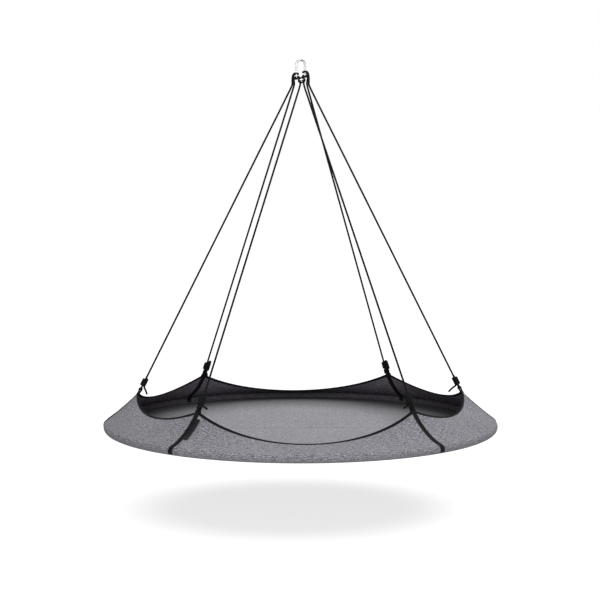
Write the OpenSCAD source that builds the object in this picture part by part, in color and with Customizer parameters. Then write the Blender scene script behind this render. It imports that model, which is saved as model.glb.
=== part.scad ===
// Round hanging swing bed. A fabric bed with low walls is sewn round a jointed tube ring.
// Six webbing straps run up its walls, and six rope legs, knotted into the straps' eyes, meet at one snap hook.
// The origin is the hook's bearing point, inside its upper bow. +Z is up and the wide gap at -Y is the front.

/* [Hang] */
// Height of the hook's bearing point above the middle of the ring
hang_drop = 1682; // [1500:10:1900]

/* [Snap hook] */
// Overall height of the snap hook
hook_h = 100; // [98:1:120]
// Overall width of the snap hook
hook_w = 50; // [48:1:56]
// Diameter of the hook's wire
wire_d = 10; // [9:0.5:11]
// Diameter of the pin that the gate turns on
pin_d = 3; // [2.5:0.5:4]
// Thickness of the tang between the gate's two ears
tang_t = 4; // [3:0.5:4.5]
// Thickness of the nose's tongue, which seats in the gate
tongue_t = 3; // [2.5:0.5:3.5]
// Diameter of the bar across the end of the tongue
nose_bar_d = 4.4; // [4:0.2:5]
// Wire diameter of the spring inside the gate
spring_wire = 0.6; // [0.5:0.1:0.7]
// Outer diameter of the spring inside the gate
spring_d = 3.4; // [3:0.1:3.6]
// Turns of the spring inside the gate
spring_turns = 6; // [5:1:8]

/* [Rope] */
// Diameter of the rope
rope_d = 8; // [7:0.5:9]
// Wraps in each knot above its last quarter turn
knot_wraps = 4; // [3:1:5]
// Length of the free end below each knot
tail_l = 45; // [30:5:60]

/* [Ring] */
// Overall diameter over the hem sleeve
bed_d = 1830; // [1500:10:1900]
// Outer diameter of the ring's tube
tube_d = 32; // [25:1:38]
// Wall of the ring's tube
tube_wall = 1.5; // [1.2:0.1:2]
// Length of each tube's necked end inside the next tube
spigot_l = 50; // [35:5:70]
// Diameter of the snap buttons that lock the tubes
button_d = 6; // [5:0.5:8]

/* [Fabric] */
// Thickness of the side walls
wall_t = 1.6; // [1.2:0.1:2.4]
// Thickness of the sleeve round the ring
sleeve_t = 1.2; // [0.8:0.1:2]
// Thickness of the floor
floor_t = 1.6; // [1:0.1:3]
// Depth of the floor below the middle of the ring
floor_drop = 5; // [3:0.5:8]
// Angle of the four corner peaks from the bed's long axis
peak_angle = 52; // [48:1:56]
// Height of the peaks above the middle of the ring
peak_h = 145; // [120:5:180]
// Inset of the peaks from the bed's outline
peak_in = 159; // [130:5:190]
// Height of the wall in the middle of the two wide gaps
wide_gap_h = 40; // [38:1:70]
// Inset of the wall's edge in the middle of the two wide gaps
wide_gap_in = 125; // [90:5:140]
// Height of the wall in the middle of the four side gaps
side_gap_h = 88; // [70:2:110]
// Inset of the wall's edge in the middle of the four side gaps
side_gap_in = 166; // [130:2:180]

/* [Webbing and tape] */
// Width of the webbing straps
strap_w = 25; // [20:1:30]
// Thickness of the webbing straps
strap_t = 1.8; // [1.4:0.1:2.4]
// Width of the strap where it is gathered into its eye
eye_w = 16; // [13:1:18]
// Height of the eye above the peak
eye_h = 22; // [20:1:28]
// Width of the tape that binds the wall's edge
tape_w = 12; // [9:1:16]
// Thickness of the binding tape
tape_t = 1; // [0.8:0.1:1.4]
// Width of the bare tab beside the front left strap
tab_w = 20; // [16:1:24]
// Thickness of the bare tab
tab_t = 0.9; // [0.7:0.1:1.2]

/* [Hidden] */
$fn = 64;

// Clearances
seat = 0.3;          // between soft pieces that lie on each other
foot_seat = 0.9;     // between the sleeve and the foot of a wall
running = 0.06;      // radial, between the pin and the gate's ears
press = 0.02;        // radial, between the pin and the tang
spigot_play = 0.1;   // radial, between a tube's neck and the next tube's bore
lay_gap = 0.6;       // between neighbouring turns of rope

// Hook: two half-circle bows joined by straight legs
bow_r = (hook_w - wire_d) / 2;
top_bow_z = wire_d / 2 - bow_r;
low_bow_z = 1.5 * wire_d + bow_r - hook_h;
gate_d = wire_d - 0.4;
ear_r = gate_d / 2;
tang_r = ear_r - 0.3;

// Rope on the hook: each rope is folded in two and looped round the lower bow.
// Places along the bow's wire are measured from its lowest point, positive to the left.
rope_pitch = rope_d + lay_gap;
wrap_r = (wire_d + rope_d) / 2 + seat;
leg_out = wrap_r + 0.6 * rope_d;
inner_half = bow_r * asin(rope_pitch / 2 / (bow_r - wrap_r)) * PI / 180;
outer_half = 1.34 * rope_pitch;
leg_half = 0.58 * rope_pitch;
hitch_step = 4 * inner_half;
hitch_mid = -rope_d / 2;
hitch_places = [hitch_mid + hitch_step, hitch_mid, hitch_mid - hitch_step];
quarter = bow_r * PI / 2;
hitch_top_z = low_bow_z + hitch_places[0] + outer_half - quarter + rope_d / 2;
pin_z = max(hitch_top_z, low_bow_z) + ear_r + 2;
nose_z = top_bow_z - 2;
gate_top_z = nose_z - 0.8;
nose_bar_z = nose_z - 5;

// The bed swings about this line, just under the hitches
pivot_z = low_bow_z - bow_r - wrap_r - 2 * rope_d;
stub_z = pivot_z + rope_d / 2 + seat;
leg_in_x = bow_r + wrap_r;
leg_out_x = leg_in_x + rope_pitch + 0.2;

// Ring and its sleeve
sleeve_r = tube_d / 2 + seat + sleeve_t;
ring_r = bed_d / 2 - sleeve_r;
tube_in = tube_d / 2 - tube_wall;
neck_r = tube_in - spigot_play;
neck_in = neck_r - tube_wall;
sections = 6;
first_joint = 20;
shoulder_l = 3;
floor_r = ring_r - sqrt(sleeve_r * sleeve_r - floor_drop * floor_drop) - seat;

// Walls: each panel is a grid of columns along the edge and rows up the wall.
// The outermost columns lie flat under the straps, and the last row under the binding.
columns = [10, 16, 10, 10, 16, 10];
rows = 6;
foot_angle = 74;     // where the wall's foot meets the sleeve at front and back, seen along the tube
side_foot_angle = 54; // the same at the left and right, where the wall stands straighter
flare = 0.46;        // how far up the wall its foot's slope is felt
edge_power = 2;      // shape of the scooped edge between two peaks
seam_gap = 0.2;      // between neighbouring panels
wall_foot_r = sleeve_r + foot_seat + wall_t / 2;
band = strap_w / 2 + 0.5;
peak = [bed_d / 2 - peak_in, peak_h];
wide_gap = [bed_d / 2 - wide_gap_in, wide_gap_h];
side_gap = [bed_d / 2 - side_gap_in, side_gap_h];
gaps = [side_gap, wide_gap, side_gap, side_gap, wide_gap, side_gap];
// Right, back right, back left, left, front left, front right
peak_angles = [0, peak_angle, 180 - peak_angle, 180, 180 + peak_angle, 360 - peak_angle, 360];

// Straps
strap_seat = wall_t / 2 + seat + strap_t / 2;
strap_wrap_r = sleeve_r + seat + strap_t / 2;
eye_r = rope_d / 2 + seat + strap_t / 2;
outer_end = -40;     // where the strap ends outside on the sleeve, seen along the tube
inner_end = 188;     // where it ends inside, just above the floor

// Knots, measured up the rope from the peak
knot_a = 1.5 * rope_d + 2.5;
knot_b = rope_d + 2.1;
knot_low = eye_h + 4.1 * rope_d;
knot_turns = knot_wraps + 0.25;
knot_high = knot_low + knot_turns * rope_pitch;
core_x = rope_pitch / 2;
curl_steps = 8;
tube_sides = 6;

grey = [0.56, 0.56, 0.58];
black = [0.09, 0.08, 0.09];
steel = [0.78, 0.79, 0.8];

// ---- Small helpers ----

function unit(v) = v / norm(v);
function turn(p, a) = [p.x * cos(a), p.x * sin(a), p.y];
function along(a) = [-sin(a), cos(a), 0];
function angle_point(c, r, a) = c + r * [cos(a), sin(a)];

// ---- Tubes swept along a path ----

function directions(p) = [
    for (i = [0 : len(p) - 1])
        unit((i > 0 ? unit(p[i] - p[i - 1]) : [0, 0, 0])
            + (i < len(p) - 1 ? unit(p[i + 1] - p[i]) : [0, 0, 0]))
];

function first_side(t) = unit(cross(t, abs(t.z) < 0.9 ? [0, 0, 1] : [1, 0, 0]));

function sides(t) = [
    for (i = 0, u = first_side(t[0]); i < len(t); i = i + 1, u = i < len(t) ? unit(u - (u * t[i]) * t[i]) : u) u
];

// Skin over equal rings of points. The cap closes the first ring and, turned over, the last one.
// A side named in crossed splits its four-cornered faces along the other diagonal.
module loft(rings, cap, crossed = []) {
    n = len(rings[0]);
    last = len(rings) - 1;
    body = [
        for (i = [0 : last - 1]) for (s = [0 : n - 1])
            let (a = i * n + s, b = i * n + (s + 1) % n, c = a + n, d = b + n)
            each (len([for (x = crossed) if (x == s) x]) > 0 ? [[a, c, b], [b, c, d]] : [[a, c, d], [a, d, b]])
    ];
    end = [for (f = cap) [f[0] + last * n, f[2] + last * n, f[1] + last * n]];
    polyhedron(points = [for (r = rings) each r], faces = concat(cap, body, end), convexity = 10);
}

module cord(path, radii) {
    t = directions(path);
    u = sides(t);
    loft(
        [
            for (i = [0 : len(path) - 1])
                let (v = cross(t[i], u[i]))
                [
                    for (s = [0 : tube_sides - 1])
                        path[i] + radii[i] * (cos(360 * s / tube_sides) * u[i] + sin(360 * s / tube_sides) * v)
                ]
        ],
        [for (s = [1 : tube_sides - 2]) [0, s, s + 1]]
    );
}

function repeat(value, n) = [for (i = [1 : n]) value];

// Least distance between stretches of one cord that lie two diameters or more apart along it
function finer(p) = [
    for (i = [0 : len(p) - 2]) for (k = [0 : 2]) p[i] + (p[i + 1] - p[i]) * k / 3
];
function run(p) = [
    for (i = 0, s = 0; i < len(p); i = i + 1, s = i < len(p) ? s + norm(p[i] - p[i - 1]) : s) s
];
function least_gap(path, d) =
    let (p = finer(path), s = run(p))
    min([
        for (i = [0 : len(p) - 2]) for (j = [i + 1 : len(p) - 1])
            if (s[j] - s[i] > 2 * d) norm(p[i] - p[j])
    ]) - d;

// ---- Snap hook ----

module bow(up) {
    rotate([up ? 90 : -90, 0, 0])
        rotate_extrude(angle = 180)
            translate([bow_r, 0])
                circle(d = wire_d);
}

module cross_pin(z, d, l) {
    translate([-bow_r, 0, z])
        rotate([90, 0, 0])
            cylinder(d = d, h = l, center = true);
}

module hook_body() {
    shoulder_z = pin_z - ear_r - 1;
    color(steel) difference() {
        union() {
            translate([0, 0, top_bow_z])
                bow(true);
            translate([0, 0, low_bow_z])
                bow(false);
            translate([bow_r, 0, low_bow_z])
                cylinder(d = wire_d, h = top_bow_z - low_bow_z);
            translate([-bow_r, 0, low_bow_z])
                cylinder(d = wire_d, h = shoulder_z - low_bow_z);
            translate([-bow_r, 0, nose_z])
                cylinder(d = wire_d, h = top_bow_z - nose_z);
            // Tang that the gate's ears straddle
            translate([-bow_r - tang_r, -tang_t / 2, shoulder_z - 1])
                cube([2 * tang_r, tang_t, pin_z - shoulder_z + 1]);
            cross_pin(pin_z, 2 * tang_r, tang_t);
            // Nose with its cross bar
            translate([-bow_r - 3, -tongue_t / 2, nose_bar_z])
                cube([6, tongue_t, nose_z - nose_bar_z + 1]);
            cross_pin(nose_bar_z, nose_bar_d, 2 * tongue_t);
        }
        cross_pin(pin_z, pin_d + 2 * press, wire_d);
    }
}

module gate() {
    slot_w = tongue_t + 0.6;
    pocket_h = nose_bar_d + 1.3;
    color(steel) difference() {
        union() {
            translate([-bow_r, 0, pin_z])
                cylinder(d = gate_d, h = gate_top_z - pin_z);
            intersection() {
                cross_pin(pin_z, 2 * ear_r, gate_d);
                translate([-bow_r, 0, pin_z - ear_r])
                    cylinder(d = gate_d, h = 2 * ear_r);
            }
        }
        // Fork over the tang
        translate([-bow_r - wire_d, -tang_t / 2 - 0.2, pin_z - wire_d])
            cube([2 * wire_d, tang_t + 0.4, wire_d + tang_r + 0.6]);
        cross_pin(pin_z, pin_d + 2 * running, 2 * wire_d);
        // Slot for the tongue and pocket for its bar, both open outwards
        translate([-bow_r - wire_d, -slot_w / 2, nose_bar_z - nose_bar_d / 2 - 1])
            cube([wire_d + 3.3, slot_w, wire_d]);
        translate([-bow_r - wire_d, -tongue_t - 0.3, nose_bar_z - nose_bar_d / 2 - 1])
            cube([wire_d + nose_bar_d / 2 + 0.3, 2 * tongue_t + 0.6, pocket_h]);
        // Bore for the spring
        translate([-bow_r, 0, pin_z])
            cylinder(d = spring_d + 0.6, h = spring_l() + tang_r + seat);
    }
}

module gate_pin() {
    color(steel) cross_pin(pin_z, pin_d, gate_d - 0.2);
}

function spring_l() = min(
    spring_turns * (spring_wire + 0.8) + spring_wire,
    nose_bar_z - nose_bar_d / 2 - 2.5 - pin_z - tang_r
);

module gate_spring() {
    r = (spring_d - spring_wire) / 2;
    low = pin_z + tang_r + seat + spring_wire / 2;
    rise = spring_l() - seat - spring_wire;
    path = [
        for (i = [0 : spring_turns * curl_steps])
            let (a = 360 * i / curl_steps)
            [r * cos(a) - bow_r, r * sin(a), low + rise * i / (spring_turns * curl_steps)]
    ];
    echo(gate_spring_gap = rise / spring_turns - spring_wire);
    color(steel) cord(path, repeat(spring_wire / 2, len(path)));
}

// ---- Rope hitches on the lower bow ----

// A place on the wire: u along it, v out from the bow's middle, w towards the back
function on_bow(u, v, w) =
    let (side = u < 0 ? 1 : -1, a = min(abs(u), quarter) / bow_r * 180 / PI)
    [side * (bow_r + v) * sin(a), w, low_bow_z - (bow_r + v) * cos(a) + max(abs(u) - quarter, 0)];

function wrap_point(c, u, a) = on_bow(c + u, -wrap_r * sin(a), -wrap_r * cos(a));

// Half a hitch, from its front bar up over the wire and back down to where its leg leaves
function half_hitch(c, h) = [
    on_bow(c + h * 0.6 * rope_pitch, wrap_r + 0.45 * rope_d, -wrap_r - 0.15 * rope_d),
    on_bow(c + h * 1.15 * rope_pitch, wrap_r, -wrap_r - 0.15 * rope_d),
    wrap_point(c, h * outer_half, -25),
    wrap_point(c, h * outer_half, 15),
    wrap_point(c, h * (outer_half + inner_half) / 2, 55),
    wrap_point(c, h * inner_half, 95),
    wrap_point(c, h * inner_half, 135),
    wrap_point(c, h * inner_half, 175),
    wrap_point(c, h * 0.8 * rope_pitch, 215),
    wrap_point(c, h * 0.55 * rope_pitch, 250),
    on_bow(c + h * leg_half, leg_out, -0.5)
];

function middle_leg_x(h) = on_bow(hitch_mid + h * leg_half, leg_out, 0).x;

function leg_end(x) = [[x, 0, stub_z + 0.9 * rope_d], [x, 0, stub_z]];

// The two legs of a side hitch turn down beside each other
function near_leg(c, side) =
    let (p = on_bow(c - side * leg_half, leg_out, 0))
    concat([[(abs(p.x) - 0.1 * rope_d) * -side, -1, p.z - 1.1 * rope_d]], leg_end(-side * leg_in_x));
function far_leg(c, side) =
    let (
        p = on_bow(c + side * leg_half, leg_out, 0),
        q = on_bow(c - side * leg_half, leg_out, 0),
        x = max(abs(q.x), abs(p.x)) + 1.08 * rope_pitch
    )
    concat([[-side * x, 1, p.z - 0.3 * rope_d], [-side * x, 1, q.z - 1.2 * rope_d]], leg_end(-side * leg_out_x));

function reversed(p) = [for (i = [len(p) - 1 : -1 : 0]) p[i]];

function hitch_path(i) =
    let (
        c = hitch_places[i],
        side = 1 - i,
        plus_leg = side == 0 ? leg_end(middle_leg_x(1)) : side > 0 ? far_leg(c, 1) : near_leg(c, -1),
        minus_leg = side == 0 ? leg_end(middle_leg_x(-1)) : side > 0 ? near_leg(c, 1) : far_leg(c, -1)
    )
    concat(reversed(concat(half_hitch(c, -1), minus_leg)), half_hitch(c, 1), plus_leg);

module hitch(i) {
    path = hitch_path(i);
    echo(hitch = i, least_gap = least_gap(path, rope_d));
    color(black) cord(path, repeat(rope_d / 2, len(path)));
}

// ---- Side walls ----

// The wall's foot and its slope there, at angle a round the ring
function foot_angle_at(a) = foot_angle + (side_foot_angle - foot_angle) * pow(cos(a), 4);
function foot(a) = angle_point([ring_r, 0], wall_foot_r, foot_angle_at(a));
function foot_slope(a) = [-sin(foot_angle_at(a)), cos(foot_angle_at(a))];

// Wall profile at angle a, from the foot to an edge point e, as [radius, height]
function knee(e, a) = foot(a) + foot_slope(a) * flare * norm(e - foot(a));
function profile(e, a, s) =
    (1 - s) * (1 - s) * foot(a) + 2 * s * (1 - s) * knee(e, a) + s * s * e;
function row_share(e, a, j) =
    j == rows ? 1 : (1 - tape_w / 2 / norm(e - knee(e, a))) * j / (rows - 1);
function row_point(e, a, j) = profile(e, a, row_share(e, a, j));

// Edge of panel k, from one peak (q = 0) to the next (q = 1)
function edge(k, q) = peak + (gaps[k] - peak) * (1 - pow(abs(2 * q - 1), edge_power));

function flat_point(a, x, j) = turn(row_point(peak, a, j), a) + x * along(a);
function band_angle(a, j) = atan(band / row_point(peak, a, j).x);

function wall_point(k, c, j) =
    let (
        a0 = peak_angles[k],
        a1 = peak_angles[k + 1],
        last = columns[k],
        q = (c - 1) / (last - 2),
        d0 = band_angle(a0, j),
        a = a0 + d0 + (a1 - a0 - d0 - band_angle(a1, j)) * q
    )
    c == 0 ? flat_point(a0, seam_gap / 2, j)
    : c == 1 ? flat_point(a0, band, j)
    : c == last - 1 ? flat_point(a1, -band, j)
    : c == last ? flat_point(a1, -seam_gap / 2, j)
    : turn(row_point(edge(k, q), a, j), a);

function wall_normal(k, c, j) =
    let (
        across = c <= 1 ? along(peak_angles[k])
            : c >= columns[k] - 1 ? along(peak_angles[k + 1])
            : wall_point(k, c + 1, j) - wall_point(k, c - 1, j),
        up = wall_point(k, c, min(j + 1, rows)) - wall_point(k, c, max(j - 1, 0))
    )
    unit(cross(across, up));

function layer_point(k, c, j, lift) = wall_point(k, c, j) + lift * wall_normal(k, c, j);

module at_ring() {
    translate([0, 0, -hang_drop])
        children();
}

// A ring goes up one face of the wall and down the other
module wall(k) {
    n = 2 * (rows + 1);
    color(grey) at_ring()
        loft(
            [
                for (c = [0 : columns[k]]) concat(
                    [for (j = [0 : rows]) layer_point(k, c, j, -wall_t / 2)],
                    [for (j = [rows : -1 : 0]) layer_point(k, c, j, wall_t / 2)]
                )
            ],
            [for (s = [0 : rows - 1]) each [[s, s + 1, n - 2 - s], [s, n - 2 - s, n - 1 - s]]],
            [rows + 1 : n - 1]
        );
}

// ---- Binding tape folded over the wall's edge ----

function binding_ring(k, c) =
    let (
        low = wall_point(k, c, rows - 1),
        top = wall_point(k, c, rows),
        up = unit(top - low),
        n = wall_normal(k, c, rows),
        inside = wall_t / 2 + seat,
        outside = inside + tape_t
    )
    [
        low - outside * n, top - outside * n + (seat + tape_t) * up,
        top + outside * n + (seat + tape_t) * up, low + outside * n,
        low + inside * n, top + inside * n + seat * up,
        top - inside * n + seat * up, low - inside * n
    ];

module binding(k) {
    color(black) at_ring()
        loft(
            [for (c = [1 : columns[k] - 1]) binding_ring(k, c)],
            [[0, 1, 7], [1, 6, 7], [1, 2, 6], [2, 5, 6], [2, 3, 5], [3, 4, 5]],
            [2, 6]
        );
}

// ---- Webbing straps ----

function line_normal(p, q) = unit([q.y - p.y, p.x - q.x]);
function offset_line(p, d) = [
    for (i = [0 : len(p) - 1])
        let (
            a = line_normal(p[max(i - 1, 0)], p[max(i, 1)]),
            b = line_normal(p[min(i, len(p) - 2)], p[min(i + 1, len(p) - 1)]),
            m = unit(a + b)
        )
        p[i] + m * d / (m * a)
];
function ribbon(p, t) = concat(offset_line(p, t / 2), reversed(offset_line(p, -t / 2)));

function wall_line(a) = [for (j = [0 : rows]) row_point(peak, a, j)];
// Rope's direction at a peak, in the plane of that peak
lean = unit([0, hang_drop + pivot_z] - peak);
lean_out = [lean.y, -lean.x];
eye_mid = peak + lean * eye_h;
lean_angle = atan2(lean_out.y, lean_out.x);

function sleeve_arc(from, step, to) =
    [for (a = [from : step : to]) angle_point([ring_r, 0], strap_wrap_r, a)];
function outer_line(a) = concat(
    sleeve_arc(outer_end, 10, foot_angle_at(a) - 20),
    offset_line(wall_line(a), strap_seat)
);
eye_line = [for (a = [0 : 22.5 : 180]) angle_point(eye_mid, eye_r, lean_angle + a)];
function inner_line(a) = concat(
    reversed([for (j = [1 : rows]) offset_line(wall_line(a), -strap_seat)[j]]),
    sleeve_arc(foot_angle_at(a) + 32, 9, inner_end)
);

module strap(k) {
    a = peak_angles[k];
    color(black) at_ring()
        rotate([0, 0, a])
            difference() {
                rotate([90, 0, 0])
                    linear_extrude(strap_w, center = true)
                        polygon(ribbon(concat(outer_line(a), eye_line, inner_line(a)), strap_t));
                // The sides are gathered in towards the eye
                for (side = [-1, 1])
                    translate([peak.x, 0, peak.y])
                        rotate([0, 90 - atan2(lean.y, lean.x), 0])
                            rotate([0, -90, 0])
                                translate([0, 0, -rope_d * 3])
                                    linear_extrude(rope_d * 6)
                                        polygon([
                                            [0.1 * eye_h, side * (strap_w / 2 + 1)],
                                            [0.5 * eye_h, side * eye_w / 2],
                                            [2 * eye_h, side * eye_w / 2],
                                            [2 * eye_h, side * (strap_w / 2 + 1)]
                                        ]);
            }
}

module label_tab() {
    lift = wall_t / 2 + seat + strap_t + seat + tab_t / 2;
    line = offset_line(wall_line(peak_angles[4]), lift);
    color(black) at_ring()
        rotate([0, 0, peak_angles[4]])
            translate([0, strap_w / 2 + 0.6 * tab_w, 0])
                rotate([90, 0, 0])
                    linear_extrude(tab_w)
                        polygon(ribbon([for (j = [2 : rows - 2]) line[j]], tab_t));
}

// ---- Rope legs with their knots ----

leg_x = [leg_out_x, leg_in_x, -leg_in_x, -leg_out_x, middle_leg_x(1), middle_leg_x(-1)];

// Path in the knot's own frame: [across, out, up the rope] from the peak
knot_path = concat(
    [
        [core_x, 0, knot_high + 1.2 * rope_d],
        [core_x, 0, knot_low - 0.35 * rope_d],
        [eye_w / 2 + 0.2 * rope_d, 0, eye_h + 2.6 * rope_d],
        [eye_w / 2 + 0.65 * rope_d, 0, eye_h + 1.75 * rope_d],
        [eye_w / 2 + 0.75 * rope_d, 0, eye_h + 0.9 * rope_d],
        [eye_w / 2 + 0.5 * rope_d, 0, eye_h + 0.27 * rope_d],
        [eye_w / 2, 0, eye_h]
    ],
    [
        [-eye_w / 2, 0, eye_h],
        [-eye_w / 2 - 0.5 * rope_d, 0, eye_h + 0.27 * rope_d],
        [-eye_w / 2 - 0.75 * rope_d, 0, eye_h + 0.9 * rope_d],
        [-eye_w / 2 - 0.65 * rope_d, 0, eye_h + 1.75 * rope_d],
        [-eye_w / 2 - 0.2 * rope_d, 0, eye_h + 2.6 * rope_d],
        [-core_x, 0, knot_low - 0.35 * rope_d],
        [-core_x, 0, knot_high + 0.2 * rope_d],
        [-core_x - 0.2 * rope_d, 0, knot_high + 0.85 * rope_d],
        [-core_x - 0.75 * rope_d, 0, knot_high + 1.2 * rope_d],
        [-knot_a - 0.1 * rope_d, 0.02 * rope_d, knot_high + 0.75 * rope_d]
    ],
    [
        for (i = [0 : knot_turns * curl_steps])
            let (a = 180 + 360 * i / curl_steps)
            [knot_a * cos(a), knot_b * sin(a), knot_high - rope_pitch * i / curl_steps]
    ],
    [
        [0.7 * rope_d, -knot_b - 0.15 * rope_d, knot_low - 0.35 * rope_d],
        [1.05 * rope_d, -knot_b - 0.5 * rope_d, knot_low - 1.0 * rope_d],
        [1.15 * rope_d, -knot_b - 0.5 * rope_d - tail_l * 0.25, knot_low - 1.0 * rope_d - tail_l * 0.43],
        [1.1 * rope_d, -knot_b - 0.5 * rope_d - tail_l * 0.45, knot_low - 1.0 * rope_d - tail_l * 0.85]
    ]
);

module rope_leg(k) {
    a = peak_angles[k];
    eye = turn(eye_mid, a) - [0, 0, hang_drop];
    top = [leg_x[k], 0, pivot_z];
    across = along(a);
    up = unit(top - eye - ((top - eye) * across) * across);
    out = cross(across, up);
    knot = [for (p = knot_path) eye + p.x * across + p.y * out + (p.z - eye_h) * up];
    fall = unit(knot[0] - top);
    r = rope_d / 2;
    // The top end is a ball on the swing line
    ball = [top - 0.95 * r * fall, top - 0.6 * r * fall, top];
    ball_r = [0.31 * r, 0.8 * r, r];
    echo(rope = k, least_gap = least_gap(knot_path, rope_d));
    color(black) cord(concat(ball, knot), concat(ball_r, repeat(r, len(knot))));
}

// ---- Sleeve, floor and ring ----

module hem_sleeve() {
    color(grey) at_ring()
        rotate_extrude($fn = 180)
            translate([ring_r, 0])
                difference() {
                    circle(r = sleeve_r);
                    circle(r = sleeve_r - sleeve_t);
                }
}

module floor_panel() {
    color(grey) at_ring()
        translate([0, 0, -floor_drop - floor_t / 2])
            cylinder(r = floor_r, h = floor_t, $fn = 180);
}

// A stretch of bent tube, from one angle of the ring to another
module arc_tube(from, to, r_out, r_in) {
    rotate([0, 0, from])
        rotate_extrude(angle = to - from)
            translate([ring_r, 0])
                difference() {
                    circle(r = r_out);
                    circle(r = r_in);
                }
}

function arc_angle(l) = l / ring_r * 180 / PI;

// Radial hole or button through the inner side of the ring at angle a
module inward(a, d, r_from, r_to) {
    rotate([0, 0, a])
        translate([ring_r - r_to, 0, 0])
            rotate([0, 90, 0])
                cylinder(d = d, h = r_to - r_from);
}

module ring_tube(i) {
    sweep = 360 / sections;
    play = arc_angle(seat);
    button_a = arc_angle(spigot_l / 2);
    color(steel) at_ring()
        rotate([0, 0, first_joint + sweep * i])
            difference() {
                union() {
                    arc_tube(play, sweep - play, tube_d / 2, tube_in);
                    arc_tube(sweep - play - arc_angle(shoulder_l), sweep - play, tube_in + 0.1, neck_in);
                    arc_tube(sweep - play - arc_angle(shoulder_l), sweep + arc_angle(spigot_l), neck_r, neck_in);
                }
                inward(button_a, button_d + 0.2, 0, tube_d);
                inward(sweep + button_a, button_d + 0.2, 0, tube_d);
            }
}

// A button stands in both tubes' holes, on a foot wider than the hole
module snap_button(i) {
    foot_w = 4;
    foot_h = 2;
    foot_r = neck_in - foot_w / 2 + seat;
    a = first_joint + 360 / sections * i + arc_angle(spigot_l / 2);
    color(steel) at_ring() {
        inward(a, button_d, foot_r - foot_h / 2, tube_d / 2);
        inward(a, button_d + foot_w, foot_r - foot_h, foot_r);
    }
}

hook_body();
gate();
gate_pin();
gate_spring();
hitch(0);  // hitch_left
hitch(1);  // hitch_middle
hitch(2);  // hitch_right
rope_leg(0);  // rope_right
rope_leg(1);  // rope_back_right
rope_leg(2);  // rope_back_left
rope_leg(3);  // rope_left
rope_leg(4);  // rope_front_left
rope_leg(5);  // rope_front_right
strap(0);  // strap_right
strap(1);  // strap_back_right
strap(2);  // strap_back_left
strap(3);  // strap_left
strap(4);  // strap_front_left
strap(5);  // strap_front_right
wall(0);  // wall_right_back
wall(1);  // wall_back
wall(2);  // wall_left_back
wall(3);  // wall_left_front
wall(4);  // wall_front
wall(5);  // wall_right_front
binding(0);  // binding_right_back
binding(1);  // binding_back
binding(2);  // binding_left_back
binding(3);  // binding_left_front
binding(4);  // binding_front
binding(5);  // binding_right_front
hem_sleeve();
floor_panel();
ring_tube(0);  // ring_tube_1
ring_tube(1);  // ring_tube_2
ring_tube(2);  // ring_tube_3
ring_tube(3);  // ring_tube_4
ring_tube(4);  // ring_tube_5
ring_tube(5);  // ring_tube_6
snap_button(0);  // snap_button_1
snap_button(1);  // snap_button_2
snap_button(2);  // snap_button_3
snap_button(3);  // snap_button_4
snap_button(4);  // snap_button_5
snap_button(5);  // snap_button_6
label_tab();
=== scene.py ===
# Round hanging swing bed: the looks of its cloth, webbing, ropes and hook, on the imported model.
import bisect
import math

import bmesh
import bpy
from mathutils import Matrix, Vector, noise


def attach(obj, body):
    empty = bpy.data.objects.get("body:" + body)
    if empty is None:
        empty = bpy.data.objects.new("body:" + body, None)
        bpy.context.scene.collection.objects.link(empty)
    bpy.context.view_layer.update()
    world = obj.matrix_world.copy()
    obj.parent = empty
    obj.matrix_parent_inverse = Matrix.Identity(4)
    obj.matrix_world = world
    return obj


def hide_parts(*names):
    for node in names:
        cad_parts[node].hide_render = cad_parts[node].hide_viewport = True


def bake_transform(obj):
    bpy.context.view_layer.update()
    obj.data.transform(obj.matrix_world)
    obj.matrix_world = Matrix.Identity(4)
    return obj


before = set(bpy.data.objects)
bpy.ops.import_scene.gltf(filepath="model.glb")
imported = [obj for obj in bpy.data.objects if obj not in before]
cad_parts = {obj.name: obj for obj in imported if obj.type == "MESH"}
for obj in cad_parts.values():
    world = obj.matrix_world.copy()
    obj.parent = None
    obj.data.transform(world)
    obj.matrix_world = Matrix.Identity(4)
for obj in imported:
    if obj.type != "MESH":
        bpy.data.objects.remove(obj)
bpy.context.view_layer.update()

# ---- Sizes of the bed, in metres and degrees, as in the CAD model ----

# W, H, T, R and D stand for width, height, thickness, radius and diameter.
SEAT = 0.0003  # left free where one thing lies on another
HANG_DROP = 1.682  # from the hook's hanging point down to the ring
RING_R = 0.8975
RING_CENTRE = Vector((0, 0, -HANG_DROP))
SLEEVE_R = 0.0175
SLEEVE_T = 0.0012
WALL_T = 0.0016
FLOOR_T = 0.0016
FLOOR_TOP = -0.005
STRAP_W = 0.025
STRAP_T = 0.0018
EYE_W = 0.016
EYE_H = 0.022
TAPE_W = 0.020
TAPE_T = 0.001
TAB_W = 0.020
TAB_T = 0.0009
ROPE_D = 0.008
WIRE_D = 0.010

# A wall leaves the tube at its foot angle and curves in; the gaps are its edge's lowest points.
# Points are (radius from the bed's middle, height above the ring).
FOOT_ANGLE = 74
SIDE_FOOT_ANGLE = 54
FLARE = 0.46
EDGE_POWER = 2
WRAP_GAP = 0.0009
WALL_FOOT_R = SLEEVE_R + WRAP_GAP + WALL_T / 2
BAND = STRAP_W / 2 + 0.0005  # from a seam to where the wall comes out from under its strap
HALF_SEAM = 0.0001
PEAK = Vector((0.756, 0.145))
WIDE_GAP = Vector((0.790, 0.040))
SIDE_GAP = Vector((0.749, 0.088))
GAPS = [SIDE_GAP, WIDE_GAP, SIDE_GAP, SIDE_GAP, WIDE_GAP, SIDE_GAP]
PEAK_ANGLES = [0, 52, 128, 180, 232, 308, 360]
PLACES = ["right", "back_right", "back_left", "left", "front_left", "front_right"]
PANELS = ["right_back", "back", "left_back", "left_front", "front", "right_front"]

# ---- Points, lines and bands ----


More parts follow.
